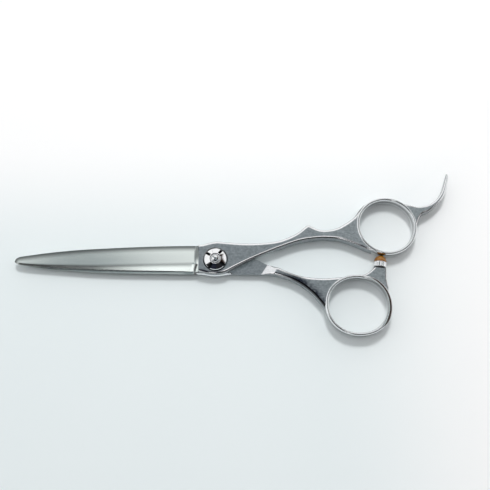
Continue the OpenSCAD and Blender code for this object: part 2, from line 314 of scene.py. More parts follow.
def cross_steps(width, r_a, r_b, crease, inner=9):
    """Places across a strip, as shares of its width: close steps over each rounded edge, and a
    pair of lines at the crease."""
    near = edge_steps(r_a) / width
    far = 1 - edge_steps(r_b)[::-1] / width
    low, high = near[-1], far[0]
    gap = min(0.16 / width, 0.2 * (high - low))
    c = min(max(crease, low + 1.5 * gap), high - 1.5 * gap)
    left = low + (c - gap - low) * np.arange(1, inner) / inner
    right = c + gap + (high - c - gap) * np.arange(0, inner) / inner
    return np.concatenate([near, left, [c - gap], [c], right, far])


class Strip:
    """A closed solid between two edge curves, given station by station."""

    def __init__(self, a, b, r_a, r_b, crease, bulge=None):
        self.a, self.b = a, b
        n = len(a)
        width = np.maximum(np.linalg.norm(b - a, axis=1), 0.05)
        r_a = np.minimum(np.broadcast_to(r_a, n), 0.42 * width)
        r_b = np.minimum(np.broadcast_to(r_b, n), 0.42 * width)
        crease = np.broadcast_to(crease, n)
        self.v = np.array([cross_steps(width[i], r_a[i], r_b[i], crease[i]) for i in range(n)])
        v = self.v[:, :, None]
        self.p = a[:, None, :] * (1 - v) + b[:, None, :] * v
        if bulge is not None:
            self.p = self.p + bulge(self.v)
        self.d_a, self.d_b = from_line(self.p, a), from_line(self.p, b)
        self.r_a, self.r_b = r_a[:, None], r_b[:, None]
        middle = (a + b) / 2
        self.along = np.broadcast_to(lengths(middle)[:, None], self.v.shape)

    def rounding(self):
        """Fall of both dressed edges."""
        return fall(self.d_a, self.r_a) + fall(self.d_b, self.r_b)

    def solid(self, top, bottom, marks_top, marks_bottom, part=slice(None)):
        """Points, faces and marks of the closed solid between a top and a bottom surface."""
        p, top, bottom = self.p[part], top[part], bottom[part]
        n, m = top.shape
        upper = np.concatenate([p, top[..., None]], -1)
        lower = np.concatenate([p, bottom[..., None]], -1)[:, ::-1]
        wall_b = [upper[:, -1:] * (1 - w) + lower[:, :1] * w for w in (0.1, 0.9)]
        wall_a = [lower[:, -1:] * (1 - w) + upper[:, :1] * w for w in (0.1, 0.9)]
        loop = np.concatenate([upper, *wall_b, lower, *wall_a], 1)
        verts = loop.reshape(-1, 3)
        k = 2 * m + 4
        faces = []
        for i in range(n - 1):
            for j in range(k):
                a, b = i * k + j, i * k + (j + 1) % k
                faces.append((a, b, b + k, a + k))
        for i in (0, n - 1):
            for j in range(m - 1):
                under = i * k + 2 * m + 1 - j
                faces.append((i * k + j, i * k + j + 1, under - 1, under))
            faces.append((i * k + m - 1, i * k + m, i * k + m + 1, i * k + m + 2))
            faces.append((i * k + 2 * m + 1, i * k + 2 * m + 2, i * k + 2 * m + 3, i * k))
        marks = {}
        across = self.d_a[part]
        along = self.along[part]
        grain = np.stack([along, across, np.zeros_like(along)], -1)
        side_b, side_a = grain[:, -1:], grain[:, :1]
        marks["grain"] = np.concatenate([grain, side_b, side_b + 2.0, grain[:, ::-1],
                                         side_a + 2.0, side_a], 1).reshape(-1, 3)
        for key, values in marks_top.items():
            t = np.broadcast_to(values, self.v.shape)[part]
            b = np.broadcast_to(marks_bottom.get(key, 0.0), self.v.shape)[part]
            wall = np.zeros((n, 2))
            if key == "ground":
                wall = np.stack([t[:, 0], t[:, 0]], 1)
            marks[key] = np.concatenate([t, wall, b[:, ::-1], wall], 1).ravel()
        return verts, faces, marks


def turned_over(verts):
    """Turns points shaped in the upper layer over into the lower layer."""
    out = np.array(verts, float)
    out[:, 1] *= -1
    out[:, 2] = RING_H - out[:, 2]
    return out


# ---- The two halves -----------------------------------------------------------------

def blade_height(x, y, rows, edge_column):
    """Height of the ground blade above its inner face."""
    edge = np.interp(x, rows[:, 0], rows[:, edge_column])
    ridge = np.interp(x, rows[:, 0], rows[:, 3])
    spine = np.interp(x, rows[:, 0], rows[:, 4])
    top = np.interp(x, rows[:, 0], rows[:, 5])
    up = np.clip((y - spine) / np.maximum(ridge - spine, 0.02), 0, 1)
    across = np.clip((y - ridge) / np.maximum(edge - ridge, 0.02), 0, 1)
    low = np.maximum(top - BEVEL_SLOPE * (ridge - spine), 0.12 * top)
    bevel = low + (top - low) * up
    # the wide face is slightly convex and falls faster over the last millimetre
    face = top - (top - EDGE_H) * (0.86 * across + 0.14 * across ** 6)
    return np.where(y < ridge, bevel, face)


def half_strip(edge_column, upper, lower, keys, counts, end_arc, bulge_from):
    """Strip of one half, from the blade's tip to its ring, with its heights."""
    rows = smooth(BLADE_ROWS, 8)
    a_curve = smooth([[r[0], r[4]] for r in BLADE_ROWS] + lower, 12)
    b_curve = smooth([[r[0], r[edge_column]] for r in BLADE_ROWS] + upper, 12)
    a = stations(a_curve, [k[1] for k in keys], counts)
    b = stations(b_curve, [k[0] for k in keys], counts)
    x_mid = (a[:, 0] + b[:, 0]) / 2
    # the blade's edges are nearly sharp, the plate's and the handle's are dressed
    plate = ease(x_mid, -9.5, -6.5)
    r_a = 0.1 + (EDGE_R - 0.1) * plate
    r_b = 0.02 + (EDGE_R - 0.02) * plate
    ridge = np.interp(x_mid, rows[:, 0], rows[:, 3])
    spine = np.interp(x_mid, rows[:, 0], rows[:, 4])
    edge = np.interp(x_mid, rows[:, 0], rows[:, edge_column])
    crease = np.clip((ridge - spine) / np.maximum(edge - spine, 0.05), 0.1, 0.6)
    past = ease(x_mid, -6.6, 0)
    crease = crease * (1 - past) + 0.5 * past
    first = int(np.argmin(np.linalg.norm(b - np.array(bulge_from), axis=1)))
    share = np.clip((np.arange(len(a)) - first) / (len(a) - 1 - first), 0, 1) ** 3.5

    def bulge(v):
        arc = end_arc(v[-1])
        chord = a[-1] * (1 - v[-1])[:, None] + b[-1] * v[-1][:, None]
        return share[:, None, None] * (arc - chord)[None]

    return Strip(a, b, r_a, r_b, crease, bulge), rows


def step_distance(p, line):
    """Distance past a step line towards the handle."""
    a, b = np.array(line[0]), np.array(line[1])
    run = b - a
    out = np.array([-run[1], run[0]]) / np.linalg.norm(run)
    return (p - a) @ out


def half_heights(strip, rows, edge_column, step, soft=0.0, chamfer=0.0):
    """Top and bottom heights, and the marks for polish, grinding and painted shade."""
    x, y = strip.p[..., 0], strip.p[..., 1]
    ground = STILL_Z + blade_height(x, y, rows, edge_column)
    # the grinding runs out in a hollow that ends at the pivot plate
    start, end = RUNOUT
    s = np.clip((x - start) / (end - start), 0, 1)
    runout = 1 - np.sqrt(np.clip(1 - s ** 2, 0, 1))
    slab = TOP_Z - strip.rounding()
    top = ground + (slab - ground) * runout
    top = np.where(x >= end, slab, top)
    past = step_distance(strip.p, step)
    slope = np.clip(past / STEP_RUN, 0, 1)
    deep = STILL_Z + (LOW_Z - STILL_Z) * (0.6 * slope + 0.4 * slope ** 2)
    handle = ease(past, 0, STEP_RUN)
    bottom = deep + strip.rounding() * handle
    # hollow inside the blade, and the lower half's outer corner dressed back at the pivot
    thick = np.clip(top - STILL_Z, 0, 1)
    hollow = np.minimum(HOLLOW_SLOPE * strip.d_b, np.minimum(HOLLOW, 0.4 * thick))
    bottom = bottom + hollow * ease(strip.d_a, 0, 0.8) * (1 - ease(x, -13, -11))
    dressed = ease(x, -9.5, -7.5) * (1 - ease(x, 5.6, 7.0))
    bottom = bottom + chamfer * dressed * np.clip(CHAMFER_W - strip.d_b, 0, None)
    bottom = bottom + soft * np.clip(1 - strip.d_b / SOFT_W, 0, 1) ** 2 * ease(x, 20, 26)
    polish = np.clip(strip.rounding() / (0.02 * EDGE_R), 0, 1)
    polish = np.where(x < end, 0, polish)
    ground_mark = 1 - ease(x, end - 0.3, end)
    polish_low = np.maximum(polish * handle, 0.7 * (slope > 0) * (slope < 1.0))
    polish_low = np.maximum(polish_low, (chamfer > 0) * dressed * (strip.d_b < CHAMFER_W))
    # painted shade and dark reflections: darker along the cutting edge, in the runout, at the
    # ridge and at the outer edges
    dark = (1 - ease(strip.d_b, 0.2, 3.0)) * (1 - ease(x, start, end))
    dark = np.maximum(dark, 0.85 * ease(y, -1.4, 1.2) * ease(x, start, -8.0) * (x < end))
    ridge = np.interp(x, rows[:, 0], rows[:, 3])
    spine = np.interp(x, rows[:, 0], rows[:, 4])
    up = (y - spine) / np.maximum(ridge - spine, 0.02)
    line = np.where(y < ridge, ease(up, 0.45, 1.0), 1 - ease(y - ridge, 0, 0.5))
    dark = np.maximum(dark, 0.6 * line * (1 - ease(x, start - 1, start)) * ease(x, -80, -70))
    rim = 1 - ease(np.minimum(strip.d_a, strip.d_b), 0.06, 0.32)
    rim = 0.7 * rim * ease(x, end, end + 1.5)
    dark = np.maximum(dark, rim)
    # painted dark reflection along the thumb half's soft bevel, and painted shade at the handle's
    # rims
    dark_low = (soft > 0) * (1 - ease(strip.d_b, 0.9, SOFT_W)) * ease(x, 25, 33)
    dark_low = np.maximum(dark_low, rim * handle)
    return top, bottom, {"polish": polish, "ground": ground_mark, "dark": dark}, {
        "polish": polish_low, "ground": ground_mark, "dark": dark_low}


def split_index(strip, step):
    """Station nearest the step line."""
    d = step_distance((strip.a + strip.b) / 2, step)
    return int(np.argmin(np.abs(d)))


def ring_arc(v, centre, half, wall, start, stop, power):
    """Line across a web's end, tucked under a ring's bead. It starts and ends along the ring, at
    angles in degrees, so the web's edges run into it without a corner."""
    share = np.arccos(np.clip(1 - 2 * v, -1, 1)) / math.pi
    tuck = 0.75 - 0.45 * (2 * v - 1) ** 4
    angle = np.radians(start + (stop - start) * share)
    c, s = np.cos(angle), np.sin(angle)
    e = 2 / power
    out = np.stack([np.sign(c) * np.abs(c) ** e, np.sign(s) * np.abs(s) ** e], -1)
    return centre + out * (np.array(half) + np.array(wall) - tuck[:, None])


def build_halves():
    """Both halves, each split at its step line into a blade and a shank."""
    def finger_arc(v):
        return ring_arc(v, FINGER_C, [FINGER_R] * 2, [FINGER_WALL] * 2, 244, 119, 2)

    def thumb_arc(v):
        return ring_arc(v, THUMB_C * [1, -1], THUMB_HALF, THUMB_WALL, 278, 174, OVAL_POWER)

    finger_keys = [
        ([-82.3, -0.2], [-82.3, -0.2]), ([-80, 1.75], [-80, -1.75]), ([-17, 6.35], [-17, -4.4]),
        ([-11, 6.4], [-11, -4.57]), ([-6, 6.35], [-6, -5.05]), ([0.5, 7.7], [0.5, -6]),
        (FINGER_STEP[0], FINGER_STEP[1]), ([22.6, 7.4], [24.2, 4.25]), ([34, 11.6], [36, 8.3]),
        ([38.4, 14.8], [40, 8.9]), ([43, 12.85], [44, 9.2]), ([50, 13.5], [51, 8.75]),
        ([64.8, 25.4], [65.4, 3.3]),
    ]
    finger_counts = [14, 60, 8, 46, 24, 36, 16, 24, 16, 14, 14, 36]
    strip, rows = half_strip(1, FINGER_UPPER, FINGER_LOWER, finger_keys, finger_counts,
                             finger_arc, [46, 12.7])
    top, bottom, up, down = half_heights(strip, rows, 1, FINGER_STEP)
    part = split_index(strip, FINGER_STEP)
    verts, faces, marks = strip.solid(top, bottom, up, down, slice(0, part + 1))
    still = piece("still_blade_ground", verts, faces, "finger_half", ["still_blade"],
                  "blade_steel", marks)
    verts, faces, marks = strip.solid(top, bottom, up, down, slice(part, None))
    piece("finger_shank_polished", verts, faces, "finger_half", ["finger_shank"],
          "handle_steel", marks)

    thumb_keys = [
        ([-82.3, -0.2], [-82.3, -0.2]), ([-80, 1.6], [-80, -1.75]), ([-17, 5.6], [-17, -4.4]),
        ([-11, 5.7], [-11, -4.57]), ([-6, 5.6], [-6, -5.05]), ([0, 6.35], [0.5, -6]),
        ([6, 5.6], [8, -3.6]), (THUMB_STEP[0], THUMB_STEP[1]), ([22.5, 5.95], [24.2, 2.8]),
        ([30.2, 8.05], [33, 6.5]), ([43.9, 20], [59, 6.45]),
    ]
    thumb_counts = [14, 60, 8, 46, 24, 16, 24, 20, 20, 50]
    strip, rows = half_strip(2, THUMB_UPPER, THUMB_LOWER, thumb_keys, thumb_counts,
                             thumb_arc, [30.2, 8.05])
    top, bottom, up, down = half_heights(strip, rows, 2, THUMB_STEP, SOFT_DEPTH, CHAMFER_SLOPE)
    part = split_index(strip, THUMB_STEP)
    verts, faces, marks = strip.solid(top, bottom, up, down, slice(0, part + 1))
    moving = piece("moving_blade_ground", turned_over(verts), faces, "thumb_half",
                   ["moving_blade"], "blade_steel", marks)
    verts, faces, marks = strip.solid(top, bottom, up, down, slice(part, None))
    piece("thumb_shank_polished", turned_over(verts), faces, "thumb_half", ["thumb_shank"],
          "handle_steel", marks)
    return still, moving


# ---- Rings and webs -----------------------------------------------------------------

def ring(name, path, half_wall, body, node, dressed, steps=240, turns=40):
    """Polished bead swept round a closed path. path(angle) gives the middle of the wall. Where
    dressed(angle) is 1, the bead's top is a flat that falls outwards."""
    angle = np.linspace(0, 2 * math.pi, steps, endpoint=False)
    mid = path(angle)
    ahead = np.roll(mid, -1, 0) - np.roll(mid, 1, 0)
    ahead /= np.linalg.norm(ahead, axis=1)[:, None]
    out = np.stack([ahead[:, 1], -ahead[:, 0]], 1)
    q = np.linspace(0, 2 * math.pi, turns, endpoint=False)
    verts, grain, dark = [], [], []
    run = lengths(np.vstack([mid, mid[:1]]))[:-1]
    for i in range(steps):
        flat = dressed(angle[i])
        e = 2 / (BEAD_POWER + (FLAT_POWER - BEAD_POWER) * flat)
        side = np.sign(np.cos(q)) * np.abs(np.cos(q)) ** e
        rise = np.sign(np.sin(q)) * np.abs(np.sin(q)) ** e
        rise = rise - flat * FLAT_FALL * (1 + side) * (rise > 0)
        for j in range(turns):
            xy = mid[i] + out[i] * half_wall(angle[i]) * side[j]
            verts.append([xy[0], xy[1], RING_H / 2 * (1 + rise[j])])
            grain.append([run[i], j * 0.35, 0])
            # painted shade on both sides of the bead's upper half
            dark.append(0.7 * ease(abs(side[j]), 0.7, 0.95) * (rise[j] > 0.1))
    faces = [(i * turns + j, i * turns + (j + 1) % turns,
              ((i + 1) % steps) * turns + (j + 1) % turns, ((i + 1) % steps) * turns + j)
             for i in range(steps) for j in range(turns)]
    piece(name, verts, faces, body, [node], "polished_steel", {"grain": grain, "dark": dark}, 80)


def web(name, a, b, start_arc, body, node, z_half=None):
    """Flat web or paddle between two edges, whose first end follows an arc under a ring's bead."""
    share = np.clip(1 - np.arange(len(a)) / (len(a) * 0.45), 0, 1) ** 1.6

    def bulge(v):
        chord = a[0] * (1 - v[0])[:, None] + b[0] * v[0][:, None]
        return share[:, None, None] * (start_arc(v[0]) - chord)[None]

    strip = Strip(a, b, WEB_EDGE_R, WEB_EDGE_R, 0.5, bulge)
    half = np.full(len(a), TOP_Z - PART_Z) if z_half is None else z_half
    half = half[:, None]
    top = PART_Z + half - strip.rounding()
    bottom = PART_Z - half + strip.rounding()
    polish = np.clip(strip.rounding() / (0.02 * EDGE_R), 0, 1)
    # painted shade along the web's edges
    rim = 0.7 * (1 - ease(np.minimum(strip.d_a, strip.d_b), 0.05, 0.25))
    look = {"polish": polish, "ground": 0.0, "dark": rim}
    verts, faces, marks = strip.solid(top, bottom, look, look)
    piece(name, verts, faces, body, [node], "handle_steel", marks)


def build_rings():
    """Finger and thumb rings, the finger rest and the bumper's web."""
    mid_r = FINGER_R + FINGER_WALL / 2
    ring("finger_ring_bead",
         lambda t: FINGER_C + mid_r * np.stack([np.cos(t), np.sin(t)], -1),
         lambda t: FINGER_WALL / 2, "finger_half", "finger_ring", lambda t: 0.0)
    ring("thumb_ring_bead", lambda t: oval(THUMB_C, THUMB_HALF + THUMB_WALL / 2, t),
         lambda t: THUMB_WALL[1] / 2 + (THUMB_WALL[0] - THUMB_WALL[1]) / 2 * math.cos(t) ** 2,
         "thumb_half", "thumb_ring", lambda t: ease(math.cos(t - 0.25), 0.45, 0.8))

    keys_in = [[78.6, 24.2], [83.5, 23.15], [89, 23.8], [94.6, 28.8], [97.4, 35.4], [98.5, 38.7]]
    keys_out = [[83.4, 14.9], [85.4, 19.3], [90.4, 22.3], [95.6, 27.2], [98.5, 34.4],
                [99.1, 38.8]]
    counts = [16, 14, 14, 14, 8]
    inner = stations(smooth(REST_INNER, 12), keys_in, counts)
    outer = stations(smooth(REST_OUTER, 12), keys_out, counts)
    n = len(inner)
    to_tip = np.clip((np.arange(n) - 40) / (n - 1 - 40), 0, 1)
    z_half = (TOP_Z - PART_Z) * (1 - 0.5 * ease(np.arange(n), 26, 62)) * np.sqrt(
        1 - 0.9 * to_tip ** 6)

    def rest_arc(v):
        return ring_arc(v, FINGER_C, [FINGER_R] * 2, [FINGER_WALL] * 2, 2, 51, 2)

    web("finger_rest_paddle", outer, inner, rest_arc, "finger_half", "finger_rest", z_half)

    left = stations(smooth(BOSS_LEFT, 12), [BOSS_LEFT[0], BOSS_LEFT[-1]], [26])
    right = stations(smooth(BOSS_RIGHT, 12), [BOSS_RIGHT[0], BOSS_RIGHT[-1]], [26])

    def boss_arc(v):
        return ring_arc(v, THUMB_C, THUMB_HALF, THUMB_WALL, 24, 84, OVAL_POWER)

    web("bumper_boss_web", right, left, boss_arc, "thumb_half", "bumper_boss")


# ---- Turned pieces ------------------------------------------------------------------

def lathe(profile, steps=96):
    """Points and faces of a closed profile of [radius, height] turned about Z."""
    profile = np.array(profile, float)
    n = len(profile)
    verts = []
    for i in range(steps):
        t = 2 * math.pi * i / steps
        verts += [[r * math.cos(t), r * math.sin(t), z] for r, z in profile]
    faces = [(i * n + j, ((i + 1) % steps) * n + j, ((i + 1) % steps) * n + (j + 1) % n,
              i * n + (j + 1) % n) for i in range(steps) for j in range(n)]
    return verts, faces


def cut(obj, cutter, sharp=40):
    """Cuts the shape of the cutter's points and faces out of a piece."""
    tool = place_object("cutter", mesh_of("cutter", *cutter))
    modifier = obj.modifiers.new("cut", "BOOLEAN")
    modifier.operation = "DIFFERENCE"
    modifier.solver = "EXACT"
    modifier.object = tool
    bpy.context.view_layer.update()
    evaluated = obj.evaluated_get(bpy.context.evaluated_depsgraph_get())
    mesh = bpy.data.meshes.new_from_object(evaluated)
    obj.modifiers.clear()
    old = obj.data
    obj.data = mesh
    bpy.data.meshes.remove(old)
    mesh.shade_smooth()
    mesh.set_sharp_from_angle(angle=math.radians(sharp))
    bpy.data.objects.remove(tool)


def box_points(x0, x1, y0, y1, z0, z1, turn=0.0):
    """Points and faces of a box turned about Z."""
    verts = [[x, y, z] for x in (x0, x1) for y in (y0, y1) for z in (z0, z1)]
    c, s = math.cos(turn), math.sin(turn)
    verts = [[x * c - y * s, x * s + y * c, z] for x, y, z in verts]
    faces = [(0, 1, 3, 2), (4, 6, 7, 5), (0, 4, 5, 1), (2, 3, 7, 6), (0, 2, 6, 4), (1, 5, 7, 3)]
    return verts, faces


def plug(r, low, high):
    """Profile of a plain cylinder."""
    return [[0, low], [r, low], [r, high], [0, high]]


def build_pivot(still, moving):
    """Bores and seats in both halves, then the dial with its slots and the slotted screw."""
    # the dial's recess, with a lip of 45 degrees
    over = TOP_Z + 1
    cut(still, lathe([
        [0, RECESS_FLOOR], [RECESS_R - 0.1, RECESS_FLOOR], [RECESS_R, TOP_Z - RECESS_LIP],
        [RECESS_R + RECESS_LIP + 1, over], [0, over]], 128), FLAT_SHARP)
    cut(still, lathe(plug(BUSH_R, 1, TOP_Z)), FLAT_SHARP)
    cut(moving, lathe(plug(COUNTERBORE_R, -1, COUNTERBORE_TOP)))
    cut(moving, lathe(plug(WASHER_SEAT_R, WASHER_FLOOR, RING_H)))
    cut(moving, box_points(-KEY_HALF, KEY_HALF, -KEY_HALF, KEY_HALF, 0, RING_H))

    crown = [[CROWN_R - CROWN_RUN * u, CROWN_Z + 0.92 * u - 0.06 * u * u]
             for u in np.linspace(0, 1, 12)]
    profile = [[1.65, 4.95], [4.5, 4.95], [DIAL_R, 5.05], [DIAL_R, 5.4], [4.54, 5.6],
               [4.42, 5.72]] + crown + [
        [2.24, 6.71], [2.12, 6.66], [2.06, 6.5], [2.05, 5.95], [1.65, 5.95]]
    verts, faces = lathe(profile, 160)
    dial = piece("tension_dial_ring", verts, faces, "dial", ["tension_dial"], "polished_steel",
                 None, 40)
    for k in range(4):
        turn = math.radians(SLOT_TURN + 90 * k)
        cut(dial, box_points(SLOT_START, 6, -SLOT_W / 2, SLOT_W / 2, SLOT_FLOOR, 8, turn), 35)

    head = [[0, 5.97], [1.98, 5.97], [2.0, 6.4], [1.92, 6.6], [1.75, 6.74], [1.45, 6.78],
            [1.3, 6.72], [1.1, 6.8], [0.8, 6.93], [0.4, 6.99], [0, 7.0]]
    verts, faces = lathe(head, 96)
    screw = piece("dial_screw_button", verts, faces, "thumb_half", ["dial_screw"],
                  "polished_steel", None, 40)
    cut(screw, box_points(-1.25, 1.25, -0.2, 0.2, 6.7, 8, math.radians(-40)), 35)


def on_bumper(verts):
    """Places points made along +Z onto the bumper's axis."""
    turn = Euler((0, 0, -BUMPER_LEAN)).to_matrix() @ Euler((-math.pi / 2, 0, 0)).to_matrix()
    turn = np.array(turn)
    return np.asarray(verts) @ turn.T + BUMPER_FOOT


def build_bumper():
    """Amber dome, fluted sleeve and soft washer between the rings."""
    dome = [[DOME_R * math.cos(a), 3.3 + DOME_R * math.sin(a)]
            for a in np.linspace(0, math.pi / 2, 16)]
    dome[-1][0] = 0
    verts, faces = lathe([[0, 3.02], [2.36, 3.02], [DOME_R, 3.14]] + dome, 72)
    piece("bumper_tip_dome", on_bumper(verts), faces, "thumb_half", ["bumper_tip"],
          "amber_rubber", None, 60)

    profile = [[BUMPER_BORE, WASHER_H], [2.42, WASHER_H], [2.56, 0.88]]
    profile += [[2.6, z] for z in (1.0, 1.1, 1.25, 1.5, 1.8, 2.1, 2.4, 2.6, 2.72)]
    profile += [[2.56, 2.88], [2.44, SLEEVE_TOP], [BUMPER_BORE, SLEEVE_TOP]]
    verts, faces = lathe(profile, 12 * FLUTES)
    verts = np.array(verts)
    wave = 0.5 - 0.5 * np.cos(FLUTES * np.arctan2(verts[:, 1], verts[:, 0]))
    band = ease(verts[:, 2], 0.88, 1.15) * (1 - ease(verts[:, 2], 2.6, 2.9))
    outer = np.hypot(verts[:, 0], verts[:, 1]) > 2.5
    shrink = 1 - FLUTE_DEPTH * wave * band * outer
    verts[:, :2] *= shrink[:, None]
    piece("bumper_sleeve_fluted", on_bumper(verts), faces, "thumb_half", ["bumper_sleeve"],
          "polished_steel", None, 60)

    soft = [[BUMPER_BORE, 0], [2.3, 0], [2.42, 0.12], [2.45, 0.4], [2.42, 0.68],
            [2.3, WASHER_H], [BUMPER_BORE, WASHER_H]]
    verts, faces = lathe(soft, 72)
    piece("bumper_washer_rubber", on_bumper(verts), faces, "thumb_half", ["bumper_washer"],
          "black_rubber", None, 70)


# ---- Materials ----------------------------------------------------------------------

VECTOR, NUMBER, COLOUR = "NodeSocketVector", "NodeSocketFloat", "NodeSocketColor"


def group(name, inputs, outputs):
    """Empty shader node group with named sockets."""
    tree = bpy.data.node_groups.new(name, "ShaderNodeTree")
    for in_out, sockets in (("INPUT", inputs), ("OUTPUT", outputs)):
        for label, kind in sockets.items():
            tree.interface.new_socket(label, in_out=in_out, socket_type=kind)
    given = tree.nodes.new("NodeGroupInput").outputs
    made = tree.nodes.new("NodeGroupOutput").inputs
    return tree, given, made


def node(tree, kind, **settings):
    """Node with its input values and settings."""
    n = tree.nodes.new(kind)
    for key, value in settings.items():
        if key in n.inputs:
            n.inputs[key].default_value = value
        else:
            setattr(n, key, value)
    return n


def arithmetic(tree, operation, a, b=None):
    """Sum of two values, or of a value and a number."""
    n = tree.nodes.new("ShaderNodeMath")
    n.operation = operation
    for socket, value in zip(n.inputs, (a, b)):
        if hasattr(value, "links"):
            tree.links.new(value, socket)
        elif value is not None:
            socket.default_value = value
    return n.outputs[0]


def stretched_noise(tree, vector, scale, detail, rough):
    """Noise on a vector stretched by a per-axis scale."""
    mapping = tree.nodes.new("ShaderNodeVectorMath")
    mapping.operation = "MULTIPLY"
    tree.links.new(vector, mapping.inputs[0])
    mapping.inputs[1].default_value = scale
    noise = node(tree, "ShaderNodeTexNoise", Scale=1.0, Detail=detail, Roughness=rough)
    tree.links.new(mapping.outputs[0], noise.inputs["Vector"])
    return noise.outputs["Fac"]


def new_material(name):
    """Empty material with one Principled shader."""
    material = bpy.data.materials.new(name)
    material.use_nodes = True
    tree = material.node_tree
    tree.nodes.clear()
    shader = tree.nodes.new("ShaderNodeBsdfPrincipled")
    out = tree.nodes.new("ShaderNodeOutputMaterial")
    tree.links.new(shader.outputs[0], out.inputs["Surface"])
    return material, tree, shader


def place(tree):
    """Object coordinates, in metres."""
    return tree.nodes.new("ShaderNodeTexCoord").outputs["Object"]


def mark(tree, name, output="Fac"):
    """A mark that the meshes carry."""
    return node(tree, "ShaderNodeAttribute", attribute_name=name).outputs[output]


def ramp(tree, value, low, high, smooth=False):
    """0 below low, 1 above high."""
    n = tree.nodes.new("ShaderNodeMapRange")
    if smooth:
        n.interpolation_type = "SMOOTHSTEP"
    tree.links.new(value, n.inputs["Value"])
    n.inputs["From Min"].default_value = low
    n.inputs["From Max"].default_value = high
    return n.outputs[0]


def axes(tree, vector):
    """X, Y and Z of a vector."""
    split = tree.nodes.new("ShaderNodeSeparateXYZ")
    tree.links.new(vector, split.inputs[0])
    return split.outputs


def blend_value(tree, factor, a, b):
    """Number between a and b."""
    n = tree.nodes.new("ShaderNodeMix")
    n.data_type = "FLOAT"
    tree.links.new(factor, n.inputs[0])
    for socket, value in ((n.inputs[2], a), (n.inputs[3], b)):
        if hasattr(value, "links"):
            tree.links.new(value, socket)
        else:
            socket.default_value = value
    return n.outputs[0]


def blend_colour(tree, factor, a, b):
    """Colour between a and b."""
    n = tree.nodes.new("ShaderNodeMix")
    n.data_type = "RGBA"
    tree.links.new(factor, n.inputs[0])
    for socket, value in ((n.inputs[6], a), (n.inputs[7], b)):
        if hasattr(value, "links"):
            tree.links.new(value, socket)
        else:
            socket.default_value = (*value, 1)
    return n.outputs[2]


def brushed_grain():
    """Fine lines along the grain, in millimetre coordinates."""
    tree, given, made = group("brushed_grain", {"Grain": VECTOR}, {"Streak": NUMBER})
    fine = stretched_noise(tree, given["Grain"], (0.35, 9.0, 1.0), 3, 0.6)
    coarse = stretched_noise(tree, given["Grain"], (0.12, 2.2, 1.0), 2, 0.5)
    both = arithmetic(tree, "ADD", arithmetic(tree, "MULTIPLY", fine, 0.6),
                      arithmetic(tree, "MULTIPLY", coarse, 0.4))
    tree.links.new(both, made["Streak"])
    return tree


def handling_marks():
    """Soft smudges and sparse hair scratches that handling leaves on polished steel."""
    tree, given, made = group("handling_marks", {"Place": VECTOR},
                              {"Smudge": NUMBER, "Scratch": NUMBER})
    smudge = stretched_noise(tree, given["Place"], (260, 330, 300), 3, 0.55)
    lines = stretched_noise(tree, given["Place"], (900, 5200, 5000), 1, 0.4)
    warp = stretched_noise(tree, given["Place"], (420, 400, 380), 2, 0.5)
    near = arithmetic(tree, "ABSOLUTE", arithmetic(tree, "SUBTRACT", lines, 0.5))
    thin = arithmetic(tree, "LESS_THAN", near, 0.006)
    patch = arithmetic(tree, "GREATER_THAN", warp, 0.56)
    tree.links.new(smudge, made["Smudge"])
    tree.links.new(arithmetic(tree, "MULTIPLY", thin, patch), made["Scratch"])
    return tree


def mottled_dressing():
    """Uneven dressing of a brushed flat, from 0 to 1: its streaks with millimetre clouds."""
    tree, given, made = group("mottled_dressing", {"Place": VECTOR, "Streak": NUMBER},
                              {"Mottle": NUMBER})
    cloud = stretched_noise(tree, given["Place"], (1000, 1300, 1200), 4, 0.6)
    both = arithmetic(tree, "ADD", arithmetic(tree, "MULTIPLY", cloud, 0.55),
                      arithmetic(tree, "MULTIPLY", given["Streak"], 0.45))
    tree.links.new(ramp(tree, both, 0.36, 0.64), made["Mottle"])
    return tree


def brushed_flat():
    """Colour and roughness of a brushed flat."""
    tree, given, made = group("brushed_flat", {"Streak": NUMBER, "Mottle": NUMBER},
                              {"Colour": COLOUR, "Roughness": NUMBER})
    tree.links.new(blend_colour(tree, given["Mottle"], (0.33, 0.365, 0.39),
                                (0.63, 0.665, 0.69)), made["Colour"])
    rough = arithmetic(tree, "ADD", arithmetic(tree, "MULTIPLY", given["Streak"], 0.2), 0.26)
    tree.links.new(rough, made["Roughness"])
    return tree


# Dark colour painted as shade on polished edges and beads
PAINTED_SHADE = (0.10, 0.105, 0.11)


def mirror_edge():
    """Colour and roughness of a polished edge, which is darkened by painted shade where the dark
    mark is set.
    """
    tree, given, made = group("mirror_edge", {"Smudge": NUMBER, "Dark": NUMBER},
                              {"Colour": COLOUR, "Roughness": NUMBER})
    tree.links.new(blend_colour(tree, given["Dark"], (0.80, 0.81, 0.82), PAINTED_SHADE), made["Colour"])
    rough = arithmetic(tree, "ADD", arithmetic(tree, "MULTIPLY", given["Smudge"], 0.14), 0.05)
    tree.links.new(rough, made["Roughness"])
    return tree


def pivot_distance():
    """Distance from the pivot's axis, in metres."""
    tree, given, made = group("pivot_distance", {"Place": VECTOR}, {"Distance": NUMBER})
    x, y, _ = axes(tree, given["Place"])
    both = arithmetic(tree, "ADD", arithmetic(tree, "MULTIPLY", x, x),
                      arithmetic(tree, "MULTIPLY", y, y))
    tree.links.new(arithmetic(tree, "SQRT", both), made["Distance"])
    return tree


GRAIN, HANDLING, MOTTLE = brushed_grain(), handling_marks(), mottled_dressing()
FLAT, EDGE, AXIS = brushed_flat(), mirror_edge(), pivot_distance()


def use_group(tree, which, **links):
    """Outputs of a group placed in a material."""
    n = tree.nodes.new("ShaderNodeGroup")
    n.node_tree = which
    for key, source in links.items():
        tree.links.new(source, n.inputs[key])
    return n.outputs


def add_bump(tree, shader, height, strength, distance):
    """Relief from a height between 0 and 1, with the distance in metres."""
    bump = node(tree, "ShaderNodeBump", Strength=strength, Distance=distance)
    tree.links.new(height, bump.inputs["Height"])
    tree.links.new(bump.outputs[0], shader.inputs["Normal"])


